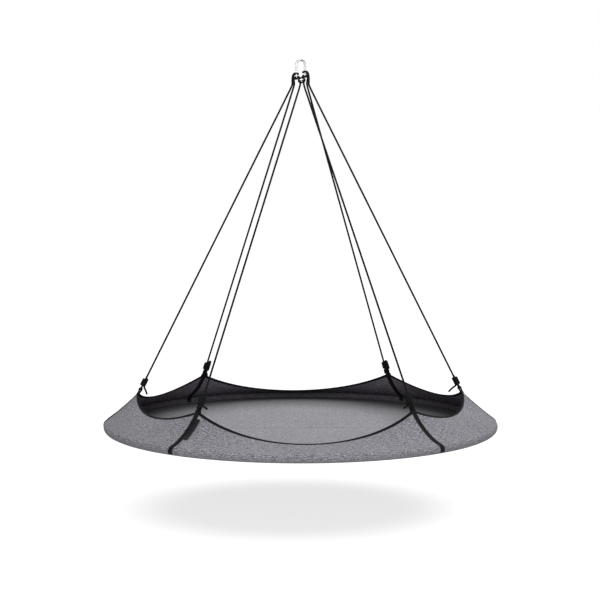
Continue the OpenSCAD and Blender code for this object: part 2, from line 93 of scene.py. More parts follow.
def polar(radius, degrees):
    """A point in the plane, or in a section, at that distance and angle."""
    a = math.radians(degrees)
    return Vector((radius * math.cos(a), radius * math.sin(a)))


def turned(p, degrees):
    """A point (radius, height) of the ring's own frame, turned about the ring to that angle."""
    a = math.radians(degrees)
    return Vector((p.x * math.cos(a), p.x * math.sin(a), p.y))


def tangent(degrees):
    """The way along the ring at that angle."""
    a = math.radians(degrees)
    return Vector((-math.sin(a), math.cos(a), 0))


def smooth(t):
    """Rises softly from 0 to 1 as t does, and stays there past either end."""
    t = min(max(t, 0), 1)
    return t * t * (3 - 2 * t)


def mix(a, b, t):
    return a + (b - a) * t


class Line:
    """A smooth line through points, read by its length."""

    def __init__(self, points, step):
        dense = []
        padded = [2 * points[0] - points[1]] + points + [2 * points[-1] - points[-2]]
        for a, b, c, d in zip(padded, padded[1:], padded[2:], padded[3:]):
            t0, t1 = 0, (b - a).length ** 0.5
            t2 = t1 + (c - b).length ** 0.5
            t3 = t2 + (d - c).length ** 0.5
            pieces = max(1, round((c - b).length / step))
            for i in range(pieces):
                t = t1 + (t2 - t1) * i / pieces
                ab = a * ((t1 - t) / (t1 - t0)) + b * ((t - t0) / (t1 - t0))
                bc = b * ((t2 - t) / (t2 - t1)) + c * ((t - t1) / (t2 - t1))
                cd = c * ((t3 - t) / (t3 - t2)) + d * ((t - t2) / (t3 - t2))
                abc = ab * ((t2 - t) / (t2 - t0)) + bc * ((t - t0) / (t2 - t0))
                bcd = bc * ((t3 - t) / (t3 - t1)) + cd * ((t - t1) / (t3 - t1))
                dense.append(abc * ((t2 - t) / (t2 - t1)) + bcd * ((t - t1) / (t2 - t1)))
        self.points = dense + [points[-1]]
        self.runs = [0]
        for p, q in zip(self.points, self.points[1:]):
            self.runs.append(self.runs[-1] + (q - p).length)
        self.length = self.runs[-1]

    def at(self, l):
        """The point at l along the line, or its end past it."""
        l = min(max(l, 0), self.length)
        i = min(max(bisect.bisect_right(self.runs, l) - 1, 0), len(self.points) - 2)
        share = (l - self.runs[i]) / max(self.runs[i + 1] - self.runs[i], 1e-9)
        return self.points[i].lerp(self.points[i + 1], share)

    def way(self, l, reach=0.001):
        """The line's direction at l, read between two points a reach away on either side."""
        return (self.at(l + reach) - self.at(l - reach)).normalized()


# ---- Making pieces ----

MATERIALS = {}


def mesh_of(name, bm):
    mesh = bpy.data.meshes.new(name)
    bm.to_mesh(mesh)
    bm.free()
    return mesh


def put_in_scene(name, data):
    thing = bpy.data.objects.new(name, data)
    bpy.context.scene.collection.objects.link(thing)
    return thing


def finished(name, bm, material, body=None, replaces=()):
    """A piece in its material, or two for two sides, that rides on a body and replaces CAD nodes."""
    mesh = mesh_of(name, bm)
    piece = put_in_scene(name, mesh)
    for m in material if isinstance(material, tuple) else (material,):
        mesh.materials.append(MATERIALS[m])
    for face in mesh.polygons:
        face.use_smooth = True
    if body:
        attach(piece, body)
    if replaces:
        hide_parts(*replaces)
    return piece


def cloth_grid(nu, nv, place, uv, merge=0):
    """A grid whose corners go where place(u, v) says, with its UV map in metres from uv(u, v)."""
    bm = bmesh.new()
    layer = bm.loops.layers.uv.new("UVMap")
    bmesh.ops.create_grid(bm, x_segments=nu, y_segments=nv, size=0.5)
    spots = {v.index: (v.co.x + 0.5, v.co.y + 0.5) for v in bm.verts}
    for face in bm.faces:
        for loop in face.loops:
            loop[layer].uv = uv(*spots[loop.vert.index])
    for v in bm.verts:
        v.co = place(*spots[v.index])
    if merge:
        bmesh.ops.remove_doubles(bm, verts=bm.verts, dist=merge)
    bmesh.ops.recalc_face_normals(bm, faces=bm.faces)
    return bm


def thicken(piece, thickness, second_material=0):
    """Give the cloth its thickness, half to each side; its far side can have its own material."""
    m = piece.modifiers.new("Thickness", "SOLIDIFY")
    m.thickness = thickness
    m.offset = 0
    m.use_even_offset = True
    m.material_offset = second_material
    m.material_offset_rim = 0


def facing(bm, way):
    """Turn the cloth over if its middle face looks against that way."""
    bm.faces.ensure_lookup_table()
    if bm.faces[len(bm.faces) // 2].normal.dot(way) < 0:
        bmesh.ops.reverse_faces(bm, faces=bm.faces)


STITCH_RISE = (-1.0, 0.1, 0.35, 0.1)  # of the thread's radius, at each quarter of a stitch
THREAD_SIDES = 5


def sewn(name, rows, material, pitch=0.004, thread=0.00034):
    """Rows of stitches: in each the thread comes up, lies along the cloth and goes down again.

    A row is its length and a spot(l) that gives the point on the cloth and its normal there.
    Pitch is the length of a stitch and thread the radius of the thread.
    """
    whole = bmesh.new()
    for length, spot in rows:
        quarters = len(STITCH_RISE) * max(int(length / pitch), 1)
        spots = [spot(length * i / quarters) for i in range(quarters + 1)]
        frames = []
        for i, (p, n) in enumerate(spots):
            t = (spots[min(i + 1, quarters)][0] - spots[max(i - 1, 0)][0]).normalized()
            frames.append((p + n * thread * STITCH_RISE[i % len(STITCH_RISE)], n, t.cross(n)))

        def place(u, v):
            p, n, b = frames[round(u * quarters)]
            a = 2 * math.pi * v
            return p + (n * math.sin(a) + b * math.cos(a)) * thread

        row = cloth_grid(quarters, THREAD_SIDES, place, lambda u, v: (u * length, v * 0.002), 1e-6)
        mesh = mesh_of("row", row)
        whole.from_mesh(mesh)
        bpy.data.meshes.remove(mesh)
    finished(name, whole, material, "bed")


# ---- Shader parts ----


class Nodes:
    """A node tree with short ways to add and link nodes."""

    def __init__(self, tree):
        self.tree = tree

    def add(self, kind, inputs=None, **settings):
        node = self.tree.nodes.new("ShaderNode" + kind)
        for key, value in settings.items():
            setattr(node, key, value)
        for key, value in (inputs or {}).items():
            self.feed(node.inputs[key], value)
        return node

    def feed(self, socket, value):
        if isinstance(value, bpy.types.NodeSocket):
            self.tree.links.new(value, socket)
        else:
            socket.default_value = value

    def math(self, operation, a, b=0.0, clamp=False):
        return self.add("Math", {0: a, 1: b}, operation=operation, use_clamp=clamp).outputs[0]

    def scaled(self, vector, by):
        return self.add("VectorMath", {0: vector, 1: by}, operation="MULTIPLY").outputs[0]

    def moved(self, vector, by):
        return self.add("VectorMath", {0: vector, 1: by}, operation="ADD").outputs[0]

    def noise(self, vector, scale, detail=2.0, rough=0.5):
        node = self.add(
            "TexNoise", {"Vector": vector, "Scale": scale, "Detail": detail, "Roughness": rough}
        )
        return node.outputs["Fac"]

    def streaks(self, vector, scales, detail=2.0, rough=0.5):
        """Noise drawn out by its own scale, in spots a metre, along each axis."""
        return self.noise(self.scaled(vector, scales), 1.0, detail, rough)

    def band(self, value, low, high, to_low=0.0, to_high=1.0):
        """A value between low and high, read as one between to_low and to_high, and held past them."""
        node = self.add(
            "MapRange",
            {"Value": value, "From Min": low, "From Max": high, "To Min": to_low, "To Max": to_high},
        )
        return node.outputs[0]

    def far(self, vector, start, end, most=1.0):
        """0 nearer to the vector's zero than start, most past end, and a soft rise between them."""
        away = self.add("VectorMath", {0: vector}, operation="LENGTH").outputs["Value"]
        node = self.add(
            "MapRange",
            {"Value": away, "From Min": start, "From Max": end, "To Max": most},
            interpolation_type="SMOOTHSTEP",
        )
        return node.outputs[0]

    def blend(self, share, a, b):
        node = self.add("Mix", data_type="RGBA")
        for socket, value in ((0, share), (6, a), (7, b)):
            self.feed(node.inputs[socket], value)
        return node.outputs[2]

    def bump(self, height, strength, distance, normal=None):
        node = self.add("Bump", {"Height": height, "Strength": strength, "Distance": distance})
        if normal:
            self.feed(node.inputs["Normal"], normal)
        return node.outputs[0]


def group(name, inputs, outputs):
    """An effect for several materials: its nodes, what it is given, what it gives, and its tree."""
    tree = bpy.data.node_groups.new(name, "ShaderNodeTree")
    for socket, kind, default in inputs:
        s = tree.interface.new_socket(socket, in_out="INPUT", socket_type="NodeSocket" + kind)
        if default is not None:
            s.default_value = default
    for socket, kind in outputs:
        tree.interface.new_socket(socket, in_out="OUTPUT", socket_type="NodeSocket" + kind)
    n = Nodes(tree)
    return n, tree.nodes.new("NodeGroupInput").outputs, tree.nodes.new("NodeGroupOutput").inputs, tree


THREADS = 1500.0  # of a cloth, to the metre


def weave_group():
    """Over-and-under threads. Vector is in metres, Threads a metre."""
    n, given, out, tree = group(
        "Thread weave",
        [("Vector", "Vector", None), ("Threads", "Float", THREADS), ("Unevenness", "Float", 0.3)],
        [("Height", "Float")],
    )
    wander = n.noise(given["Vector"], 90.0, detail=1.0)
    at = n.add("SeparateXYZ", {0: given["Vector"]}).outputs
    half_turn = n.math("MULTIPLY", given["Threads"], math.pi)
    shift = n.math("MULTIPLY", n.math("MULTIPLY", wander, given["Unevenness"]), 6.0)
    u = n.math("ADD", n.math("MULTIPLY", at[0], half_turn), shift)
    v = n.math("SUBTRACT", n.math("MULTIPLY", at[1], half_turn), shift)
    sin_u, sin_v = n.math("SINE", u), n.math("SINE", v)
    warp_up = n.math("GREATER_THAN", n.math("MULTIPLY", sin_u, sin_v), 0.0)
    warp = n.math("MULTIPLY", n.math("ABSOLUTE", sin_u), warp_up)
    weft = n.math("MULTIPLY", n.math("ABSOLUTE", sin_v), n.math("SUBTRACT", 1.0, warp_up))
    n.feed(out["Height"], n.math("ADD", warp, weft))
    return tree


def heather_group():
    """Light and dark yarns: fine streaks both ways, and the mottling that they add up to."""
    n, given, out, tree = group(
        "Heather yarns",
        [("Vector", "Vector", None), ("Mottling", "Float", 0.5)],
        [("Tone", "Float"), ("Patches", "Float")],
    )
    weft = n.streaks(given["Vector"], (70.0, THREADS, 1.0), detail=1.0)
    warp = n.streaks(given["Vector"], (THREADS, 90.0, 1.0), detail=1.0)
    grain = n.streaks(given["Vector"], (120.0, 210.0, 1.0), detail=1.0)
    slubs = n.streaks(given["Vector"], (34.0, 200.0, 1.0), rough=0.55)
    mottling = n.math("ADD", n.math("MULTIPLY", grain, 0.55), n.math("MULTIPLY", slubs, 0.45))
    yarns = n.math("ADD", n.math("MULTIPLY", weft, 0.65), n.math("MULTIPLY", warp, 0.35))
    mottled = n.math("MULTIPLY", mottling, given["Mottling"])
    streaked = n.math("MULTIPLY", yarns, n.math("SUBTRACT", 1.0, given["Mottling"]))
    n.feed(out["Tone"], n.band(n.math("ADD", mottled, streaked), 0.41, 0.59))
    n.feed(out["Patches"], n.noise(given["Vector"], 5.0, 3.0, 0.55))
    return tree


def ribs_group():
    """Webbing: ribs of yarn along the length that lean to either side in turn."""
    n, given, out, tree = group(
        "Webbing ribs",
        [("Vector", "Vector", None), ("Ribs", "Float", 520.0)],
        [("Height", "Float"), ("Shade", "Float")],
    )
    at = n.add("SeparateXYZ", {0: given["Vector"]}).outputs
    row = n.math("MULTIPLY", at[1], given["Ribs"])
    lean = n.math("PINGPONG", row, 1.0)
    along = n.math("MULTIPLY", at[0], given["Ribs"])
    twill = n.math("ABSOLUTE", n.math("SINE", n.math("MULTIPLY", n.math("ADD", along, lean), math.pi)))
    groove = n.math("ABSOLUTE", n.math("SINE", n.math("MULTIPLY", row, math.pi)))
    n.feed(out["Height"], n.math("MULTIPLY", n.math("ADD", twill, 0.6), groove))
    n.feed(out["Shade"], n.band(n.noise(given["Vector"], 160.0, 3.0, 0.7), 0.3, 0.7))
    return tree


def dust_group():
    """Pale dust and lint that lie unevenly."""
    n, given, out, tree = group(
        "Dust",
        [("Vector", "Vector", None), ("Amount", "Float", 0.1)],
        [("Mask", "Float")],
    )
    cloud = n.band(n.noise(given["Vector"], 22.0, 4.0, 0.6), 0.42, 0.75)
    specks = n.band(n.noise(given["Vector"], 480.0, 2.0, 0.5), 0.62, 0.72)
    both = n.math("ADD", n.math("MULTIPLY", cloud, 0.7), n.math("MULTIPLY", specks, 0.3))
    n.feed(out["Mask"], n.math("MULTIPLY", both, given["Amount"], clamp=True))
    return tree


WEAVE, HEATHER, RIBS, DUST = weave_group(), heather_group(), ribs_group(), dust_group()


def shared(n, tree, inputs):
    """What a shared effect gives for these inputs."""
    node = n.add("Group", node_tree=tree)
    for key, value in inputs.items():
        n.feed(node.inputs[key], value)
    return node.outputs


def material(name, roughness, build, **fixed):
    """build(n, where, put) puts what varies over the surface on the shader; where has coordinates."""
    m = bpy.data.materials.new(name)
    m.use_nodes = True
    n = Nodes(m.node_tree)
    shader = m.node_tree.nodes["Principled BSDF"]
    shader.inputs["Roughness"].default_value = roughness
    for key, value in fixed.items():
        shader.inputs[key.replace("_", " ")].default_value = value
    where = n.add("TexCoord").outputs
    build(n, where, lambda key, value: n.feed(shader.inputs[key], value))
    MATERIALS[name] = m


def darker(colour, share):
    return (*[c * share for c in colour[:3]], 1)


def grey_cloth(dark, light, mottling, crease=None, round_tube=None, painted_edge_shade=None):
    """Heathered cloth between two tones, with its threads, painted shade between them, uneven wash and
    shallow dents.

    round_tube is its tone where it turns under the ring's tube, crease is what fold_line asks for (its line
    is bumped in and darkened with painted shade), and the last argument is painted shade towards the cloth's
    edge: where it begins and is deepest, how deep, and what its middle is moved by.
    """

    def build(n, where, put):
        uv = where["UV"]
        yarn = shared(n, HEATHER, {"Vector": uv, "Mottling": mottling})
        weave = shared(n, WEAVE, {"Vector": uv, "Threads": THREADS, "Unevenness": 0.25})
        # Painted shade: darker in the hollows between the threads.
        painted_thread_shade = n.band(weave["Height"], 0.0, 0.7, 0.22, 0.0)
        wash = n.band(yarn["Patches"], 0.35, 0.65, 0.0, 0.12)
        tone = n.blend(yarn["Tone"], dark, light)
        tone = n.blend(painted_thread_shade, tone, darker(dark, 0.45))
        tone = n.blend(wash, tone, darker(dark, 0.7))
        # Painted shade: the floor darkens towards its edge, more at the sides and to the right, where the
        # walls lean over it.
        if painted_edge_shade:
            start, end, most, middle = painted_edge_shade
            spot = n.moved(n.scaled(where["Object"], (1.1, 1.0, 0.0)), middle)
            tone = n.blend(n.far(spot, start, end, most), tone, darker(dark, 0.3))
        if round_tube:
            height = n.add("SeparateXYZ", {0: where["Object"]}).outputs[2]
            turn = n.band(height, -HANG_DROP - 0.018, -HANG_DROP + 0.014, 0.62, 0.0)
            tone = n.blend(turn, tone, round_tube)
        soft = n.bump(n.streaks(uv, (9.0, 16.0, 1.0)), 0.25, 0.004)
        if crease:
            # Painted shade: a darker line along the crease, where its hollow would be in shade.
            line = fold_line(n, uv, *crease)
            tone = n.blend(n.math("MULTIPLY", line, 0.35), tone, darker(dark, 0.5))
            soft = n.bump(n.math("SUBTRACT", 1.0, line), 0.6, 0.003, soft)
        put("Base Color", tone)
        put("Normal", n.bump(weave["Height"], 0.5, 0.00025, soft))

    return build


def fold_line(n, uv, start, end, height, half):
    """Mask of a pressed crease across the cloth, from start to end, at that height of its UV map."""
    at = n.add("SeparateXYZ", {0: uv}).outputs
    wander = n.band(n.streaks(uv, (4.0, 0.5, 1.0)), 0.3, 0.7, -0.002, 0.002)
    off = n.math("ABSOLUTE", n.math("SUBTRACT", n.math("ADD", at[1], wander), height))
    line = n.band(off, 0.0, half, 1.0, 0.0)
    fade = 0.12
    begins = n.band(at[0], start, start + fade)
    ends = n.band(at[0], end - fade, end, 1.0, 0.0)
    return n.math("MULTIPLY", line, n.math("MULTIPLY", begins, ends))


def black_webbing(colour, worn, ribs=520.0):
    """Ribbed black tape between two tones, ribs to the metre, with a little dust and painted shade in the
    grooves between its ribs.
    """

    def build(n, where, put):
        uv = where["UV"]
        rib = shared(n, RIBS, {"Vector": uv, "Ribs": ribs})
        dust = shared(n, DUST, {"Vector": where["Object"], "Amount": 0.05})
        tone = n.blend(rib["Shade"], colour, worn)
        # Painted shade: near black in the grooves between the ribs.
        tone = n.blend(n.band(rib["Height"], 0.1, 1.0, 0.55, 0.0), tone, (0.004, 0.004, 0.004, 1))
        put("Base Color", n.blend(dust["Mask"], tone, (0.09, 0.085, 0.08, 1)))
        put("Normal", n.bump(rib["Height"], 0.8, 0.0004))

    return build


def braided(n, where, put):
    """Black rope: its strands are in the mesh, their yarns here."""
    uv = where["UV"]
    yarn = n.streaks(uv, (900.0, 2400.0, 1.0), rough=0.6)
    dust = shared(n, DUST, {"Vector": where["Object"], "Amount": 0.1})
    tone = n.blend(n.band(yarn, 0.35, 0.65), (0.004, 0.004, 0.0045, 1), (0.014, 0.0135, 0.0145, 1))
    put("Base Color", n.blend(dust["Mask"], tone, (0.05, 0.048, 0.047, 1)))
    put("Normal", n.bump(yarn, 0.5, 0.0003))


def zinc(n, where, put):
    """Zinc-plated steel, spotted, with fine drawing marks, and a painted dark reflection, broken up by
    noise, on the hook's crown at its top.
    """
    at = where["Object"]
    drawn = n.streaks(at, (900.0, 900.0, 60.0), 3.0, 0.6)
    spots = n.noise(at, 260.0, 4.0, 0.6)
    tone = n.blend(n.band(spots, 0.35, 0.7), (0.5, 0.505, 0.515, 1), (0.33, 0.335, 0.345, 1))
    height = n.add("SeparateXYZ", {0: at}).outputs[2]
    # Painted reflection: the crown, the hook's top, is darkened in patches as if it mirrored something dark.
    crown_reflection_breakup = n.band(n.noise(at, 75.0, 3.0), 0.42, 0.6)
    painted_crown_reflection = n.math("MULTIPLY", n.band(height, -0.012, 0.004), crown_reflection_breakup)
    dull = n.math("ADD", n.math("MULTIPLY", drawn, 0.6), n.math("MULTIPLY", spots, 0.4))
    put("Base Color", n.blend(painted_crown_reflection, tone, (0.10, 0.10, 0.098, 1)))
    put("Roughness", n.band(dull, 0.3, 0.7, 0.16, 0.36))
    put("Normal", n.bump(drawn, 0.12, 0.0002))


def powder_coat(n, where, put):
    """Black paint with a fine orange peel."""
    at = where["Object"]
    cloud = n.band(n.noise(at, 40.0, 3.0), 0.3, 0.7)
    put("Base Color", n.blend(cloud, (0.02, 0.02, 0.021, 1), (0.03, 0.03, 0.031, 1)))
    put("Normal", n.bump(n.noise(at, 900.0), 0.2, 0.0002))


def thread(colour, worn):
    """Sewing thread between two tones along its twist."""

    def build(n, where, put):
        twist = n.streaks(where["Object"], (2500.0, 2500.0, 2500.0), detail=1.0)
        put("Base Color", n.blend(n.band(twist, 0.3, 0.7), colour, worn))

    return build


# The first is painted shade towards the floor's edge; the crease below is darkened with painted shade as
# well as bumped.
FLOOR_PAINTED_SHADE = (0.42, 0.87, 0.88, (0.045, 0.0, 0.0))  # start, end, depth, middle
FLOOR_CREASE = (2.6, 3.36, 2.922, 0.016)  # start, end, height, half its width

material(
    "wall_cloth", 0.9,
    grey_cloth((0.085, 0.085, 0.096, 1), (0.37, 0.37, 0.402, 1), 0.8, round_tube=(0.185, 0.185, 0.2, 1)),
    Specular_IOR_Level=0.15,
)
# Painted shade: the walls' inner face is a much darker, purplish grey cloth, standing in for the shade
# inside the bed.
material(
    "wall_inside_painted_shade", 0.92,
    grey_cloth((0.08, 0.073, 0.087, 1), (0.27, 0.246, 0.294, 1), 0.7),
    Specular_IOR_Level=0.1,
)
# Painted shade: darker still, for the sleeve's upper half where it shows inside the bed beside the shaded
# walls.
material(
    "sleeve_inside_painted_shade", 0.92,
    grey_cloth((0.036, 0.0325, 0.039, 1), (0.12, 0.109, 0.13, 1), 0.7),
    Specular_IOR_Level=0.1,
)
material(
    "floor_cloth", 0.9,
    grey_cloth((0.13, 0.13, 0.14, 1), (0.43, 0.43, 0.455, 1), 0.65,
               crease=FLOOR_CREASE, painted_edge_shade=FLOOR_PAINTED_SHADE),
    Specular_IOR_Level=0.15,
)
material(
    "webbing", 0.85,
    black_webbing((0.0048, 0.0034, 0.0039, 1), (0.0115, 0.0082, 0.0095, 1)),
    Specular_IOR_Level=0.08,
)
material(
    "binding_tape", 0.88,
    black_webbing((0.005, 0.0043, 0.0052, 1), (0.010, 0.0086, 0.0102, 1), ribs=900.0),
    Specular_IOR_Level=0.06,
)
material(
    "tab_satin", 0.6,
    black_webbing((0.005, 0.0038, 0.0043, 1), (0.011, 0.0085, 0.0095, 1), ribs=1300.0),
    Specular_IOR_Level=0.1,
)
material("rope", 0.85, braided, Specular_IOR_Level=0.06)
material("hook_steel", 0.25, zinc, Metallic=1.0)
material("spring_steel", 0.3, zinc, Metallic=1.0)
material("tube_paint", 0.45, powder_coat)
material("black_thread", 0.7, thread((0.01, 0.01, 0.01, 1), (0.04, 0.038, 0.038, 1)))
material("grey_thread", 0.7, thread((0.16, 0.165, 0.175, 1), (0.26, 0.265, 0.28, 1)))

# ---- The CAD model's own metal parts ----

FINISHES = {
    "hook_steel": ["hook_body", "gate", "gate_pin"],
    "spring_steel": ["gate_spring"] + [f"snap_button_{i}" for i in range(1, 7)],
    "tube_paint": [f"ring_tube_{i}" for i in range(1, 7)],
}
for finish, nodes in FINISHES.items():
    for node in nodes:
        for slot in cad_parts[node].material_slots:
            slot.material = MATERIALS[finish]

# ---- Camera ----

LOOKS_DOWN, LOOKS_RIGHT = 5.116, 2.109  # degrees

camera = put_in_scene("camera", bpy.data.cameras.new("camera"))
camera.location = (-0.285, -7.6646, -0.4156)
camera.rotation_euler = (math.radians(90 - LOOKS_DOWN), 0, math.radians(-LOOKS_RIGHT))
camera.data.lens = 99.27
camera.data.sensor_width = 36
camera.data.clip_end = 200
bpy.context.scene.camera = camera

# ---- Ropes: each is folded in two, hitched on the hook's lower bow, and knotted at both ends ----

# Along the bow, u is measured on its wire from the lowest spot to the left; c is a hitch's middle.
MM = 0.001
BOW_R = 0.020
HOOK_H = 0.100
LOW_BOW_Z = 1.5 * WIRE_D + BOW_R - HOOK_H
PITCH = ROPE_D + 0.0006  # from one turn of rope to the next
WRAP_R = (WIRE_D + ROPE_D) / 2 + SEAT
LEG_OUT = WRAP_R + 0.6 * ROPE_D
INNER_HALF = BOW_R * math.asin(PITCH / 2 / (BOW_R - WRAP_R))
OUTER_HALF = 1.34 * PITCH
LEG_HALF = 0.58 * PITCH
HITCH_STEP = 4 * INNER_HALF
HITCH_MID = -ROPE_D / 2
QUARTER = BOW_R * math.pi / 2
PIVOT_Z = LOW_BOW_Z - BOW_R - WRAP_R - 2 * ROPE_D  # the swing line
STUB_Z = PIVOT_Z + ROPE_D / 2 + SEAT
LEG_IN_X = BOW_R + WRAP_R
LEG_OUT_X = LEG_IN_X + PITCH + 0.0002
LEAN = (Vector((0, HANG_DROP + PIVOT_Z)) - PEAK).normalized()
LEAN_OUT = Vector((LEAN.y, -LEAN.x))
EYE_MID = PEAK + LEAN * EYE_H


def on_bow(u, v, w):
    """A point u along the bow, v outwards from its wire and w behind it."""
    side = 1 if u < 0 else -1
    a = min(abs(u), QUARTER) / BOW_R
    x = side * (BOW_R + v) * math.sin(a)
    z = LOW_BOW_Z - (BOW_R + v) * math.cos(a) + max(abs(u) - QUARTER, 0)
    return Vector((x, w, z))


def wrap(c, u, degrees):
    """A point of a turn round the wire: 0 degrees is in front of it, 90 inside the bow, 180 behind."""
    a = math.radians(degrees)
    return on_bow(c + u, -WRAP_R * math.sin(a), -WRAP_R * math.cos(a))


def half_hitch(c, h):
    """From the loop in front of the wire, round the wire, to where the leg leaves it below."""
    return [
        on_bow(c + h * 0.6 * PITCH, WRAP_R + 0.45 * ROPE_D, -WRAP_R - 0.15 * ROPE_D),
        on_bow(c + h * 1.15 * PITCH, WRAP_R, -WRAP_R - 0.15 * ROPE_D),
        wrap(c, h * OUTER_HALF, -25),
        wrap(c, h * OUTER_HALF, 15),
        wrap(c, h * (OUTER_HALF + INNER_HALF) / 2, 55),
        wrap(c, h * INNER_HALF, 95),
        wrap(c, h * INNER_HALF, 135),
        wrap(c, h * INNER_HALF, 175),
        wrap(c, h * 0.8 * PITCH, 215),
        wrap(c, h * 0.55 * PITCH, 250),
        on_bow(c + h * LEG_HALF, LEG_OUT, -0.5 * MM),
    ]


def leg_end(x):
    """A leg's last bit, straight down to the swing line."""
    return [Vector((x, 0, STUB_Z + 0.9 * ROPE_D)), Vector((x, 0, STUB_Z))]


def inner_leg(c, side):
    """The leg of a side hitch that hangs nearer to the middle."""
    p = on_bow(c - side * LEG_HALF, LEG_OUT, 0)
    bend = Vector(((abs(p.x) - 0.1 * ROPE_D) * -side, -0.5 * ROPE_D, p.z - 1.1 * ROPE_D))
    return [bend] + leg_end(-side * LEG_IN_X)


def outer_leg(c, side):
    """The leg of a side hitch that hangs further out, and passes behind the inner one."""
    p = on_bow(c + side * LEG_HALF, LEG_OUT, 0)
    q = on_bow(c - side * LEG_HALF, LEG_OUT, 0)
    x = (abs(p.x) + LEG_OUT_X) / 2
    return [
        Vector((-side * x, 0.5 * ROPE_D, p.z - 0.7 * ROPE_D)),
        Vector((-side * LEG_OUT_X, 0.55 * ROPE_D, q.z - 0.8 * ROPE_D)),
    ] + leg_end(-side * LEG_OUT_X)


def hitch(side):
    """Path of a hitch from its minus leg to its plus leg: side 1 is left, 0 the middle, -1 right."""
    c = HITCH_MID + side * HITCH_STEP
    if side == 0:
        plus, minus = (leg_end(on_bow(c + h * LEG_HALF, LEG_OUT, 0).x) for h in (1, -1))
    elif side > 0:
        plus, minus = outer_leg(c, 1), inner_leg(c, 1)
    else:
        plus, minus = inner_leg(c, -1), outer_leg(c, -1)
    return list(reversed(half_hitch(c, -1) + minus)) + half_hitch(c, 1) + plus


# A knot's turns are KNOT_A and KNOT_B wide of its middle, from KNOT_HIGH down to KNOT_LOW.
KNOT_A = 1.5 * ROPE_D + 2.5 * MM
KNOT_B = ROPE_D + 2.1 * MM
KNOT_LOW = EYE_H + 2.3 * ROPE_D
KNOT_TURNS = 4.25
KNOT_HIGH = KNOT_LOW + KNOT_TURNS * PITCH
CORE_X = PITCH / 2
EYE_HALF = 0.4 * EYE_W
# The way each free end points, and its length.
TAILS = {
    "right": (-0.76, -0.1, -0.65, 0.045),
    "back_right": (0.2, 0.55, -0.8, 0.025),
    "back_left": (0.25, -0.2, -0.95, 0.026),
    "left": (0.37, -0.1, -0.92, 0.036),
    "front_left": (0.75, 0.1, -0.62, 0.026),
    "front_right": (-0.82, 0.1, -0.55, 0.033),
}


def knot_path():
    """Knot in its own frame, across, out, and up the rope from the peak.

    The rope comes down through the knot and the strap's eye, goes up again, and turns round itself.
    """
    d, w, h, x = ROPE_D, EYE_HALF, EYE_H, CORE_X
    side = [
        (x, KNOT_LOW - 0.35 * d),
        (w + 0.30 * d, h + 1.25 * d),
        (w + 0.42 * d, h + 0.62 * d),
        (w + 0.28 * d, h + 0.15 * d),
        (w - 0.1 * d, h),
    ]
    path = [Vector((x, 0, KNOT_HIGH + 1.2 * d))]
    path += [Vector((a, 0, b)) for a, b in side] + [Vector((0, 0, h))]
    path += [Vector((-a, 0, b)) for a, b in reversed(side)]
    path += [
        Vector((-x, 0, KNOT_HIGH + 0.2 * d)),
        Vector((-x - 0.2 * d, 0, KNOT_HIGH + 0.85 * d)),
        Vector((-x - 0.75 * d, 0, KNOT_HIGH + 1.2 * d)),
        Vector((-KNOT_A - 0.1 * d, 0.02 * d, KNOT_HIGH + 0.75 * d)),
    ]
    steps = 12
    for i in range(int(KNOT_TURNS * steps) + 1):
        a = math.pi + 2 * math.pi * i / steps
        path.append(Vector((KNOT_A * math.cos(a), KNOT_B * math.sin(a), KNOT_HIGH - PITCH * i / steps)))
    return path + [Vector((0.7 * d, -KNOT_B - 0.15 * d, KNOT_LOW - 0.3 * d))]


def rope_leg(k, top_x):
    """A leg's path from the swing line down through its knot to its free end."""
    a = PEAK_ANGLES[k]
    eye = turned(EYE_MID, a) + RING_CENTRE
    top = Vector((top_x, 0, PIVOT_Z))
    across = tangent(a)
    reach = top - eye
    up = (reach - reach.dot(across) * across).normalized()
    out = across.cross(up)
    knot = [eye + p.x * across + p.y * out + (p.z - EYE_H) * up for p in knot_path()]
    *way, tail = TAILS[PLACES[k]]
    way = Vector(way).normalized()
    arch = 0.15 * tail
    tail_path = [knot[-1] + way * tail * t + Vector((0, 0, arch * t * (1 - t))) for t in (0.3, 0.65, 1)]
    straight = [top.lerp(knot[0], t) for t in (0, 0.05, 0.2, 0.4, 0.6, 0.8, 0.95)]
    return straight + knot + tail_path


ROPE_STEP = 0.00125
ROPE_SIDES = 24
HALF_STRANDS = 3  # each way round
BRAID_LAY = 0.0092
BRAID_OUT = 0.00025
STRAND_RISE = 0.0002
END_ROUND = 0.45 * ROPE_D


def rope(name, path, replaced):
    """Braided rope along a path: strands that cross, half of them each way round."""
    line = Line(path, 0.0012)
    rings = int(line.length / ROPE_STEP)
    frames = []
    side = None
    for i in range(rings + 1):
        l = line.length * i / rings
        t = line.way(l, 0.0008)
        if side is None:
            side = t.cross(Vector((0.3, 0.9, 0.1))).normalized()
        side = (side - side.dot(t) * t).normalized()
        frames.append((line.at(l), side, t.cross(side), l))

    def place(u, v):
        p, s, w, l = frames[round(u * rings)]
        a = 2 * math.pi * v
        end = min(l, line.length - l) / END_ROUND
        shrink = math.sqrt(max(1 - (1 - min(end, 1)) ** 2, 1e-4))
        twist = math.pi * l / BRAID_LAY
        lift = abs(math.sin(HALF_STRANDS * a + twist)) * abs(math.sin(HALF_STRANDS * a - twist))
        r = (ROPE_D / 2 + BRAID_OUT + STRAND_RISE * lift) * shrink
        return p + r * (math.cos(a) * s + math.sin(a) * w)

    bm = cloth_grid(rings, ROPE_SIDES, place, lambda u, v: (u * line.length, v * math.pi * ROPE_D), 1e-5)
    piece = finished(name, bm, "rope", replaces=replaced)
    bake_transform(piece)


MIDDLE_X = [on_bow(HITCH_MID + h * LEG_HALF, LEG_OUT, 0).x for h in (1, -1)]
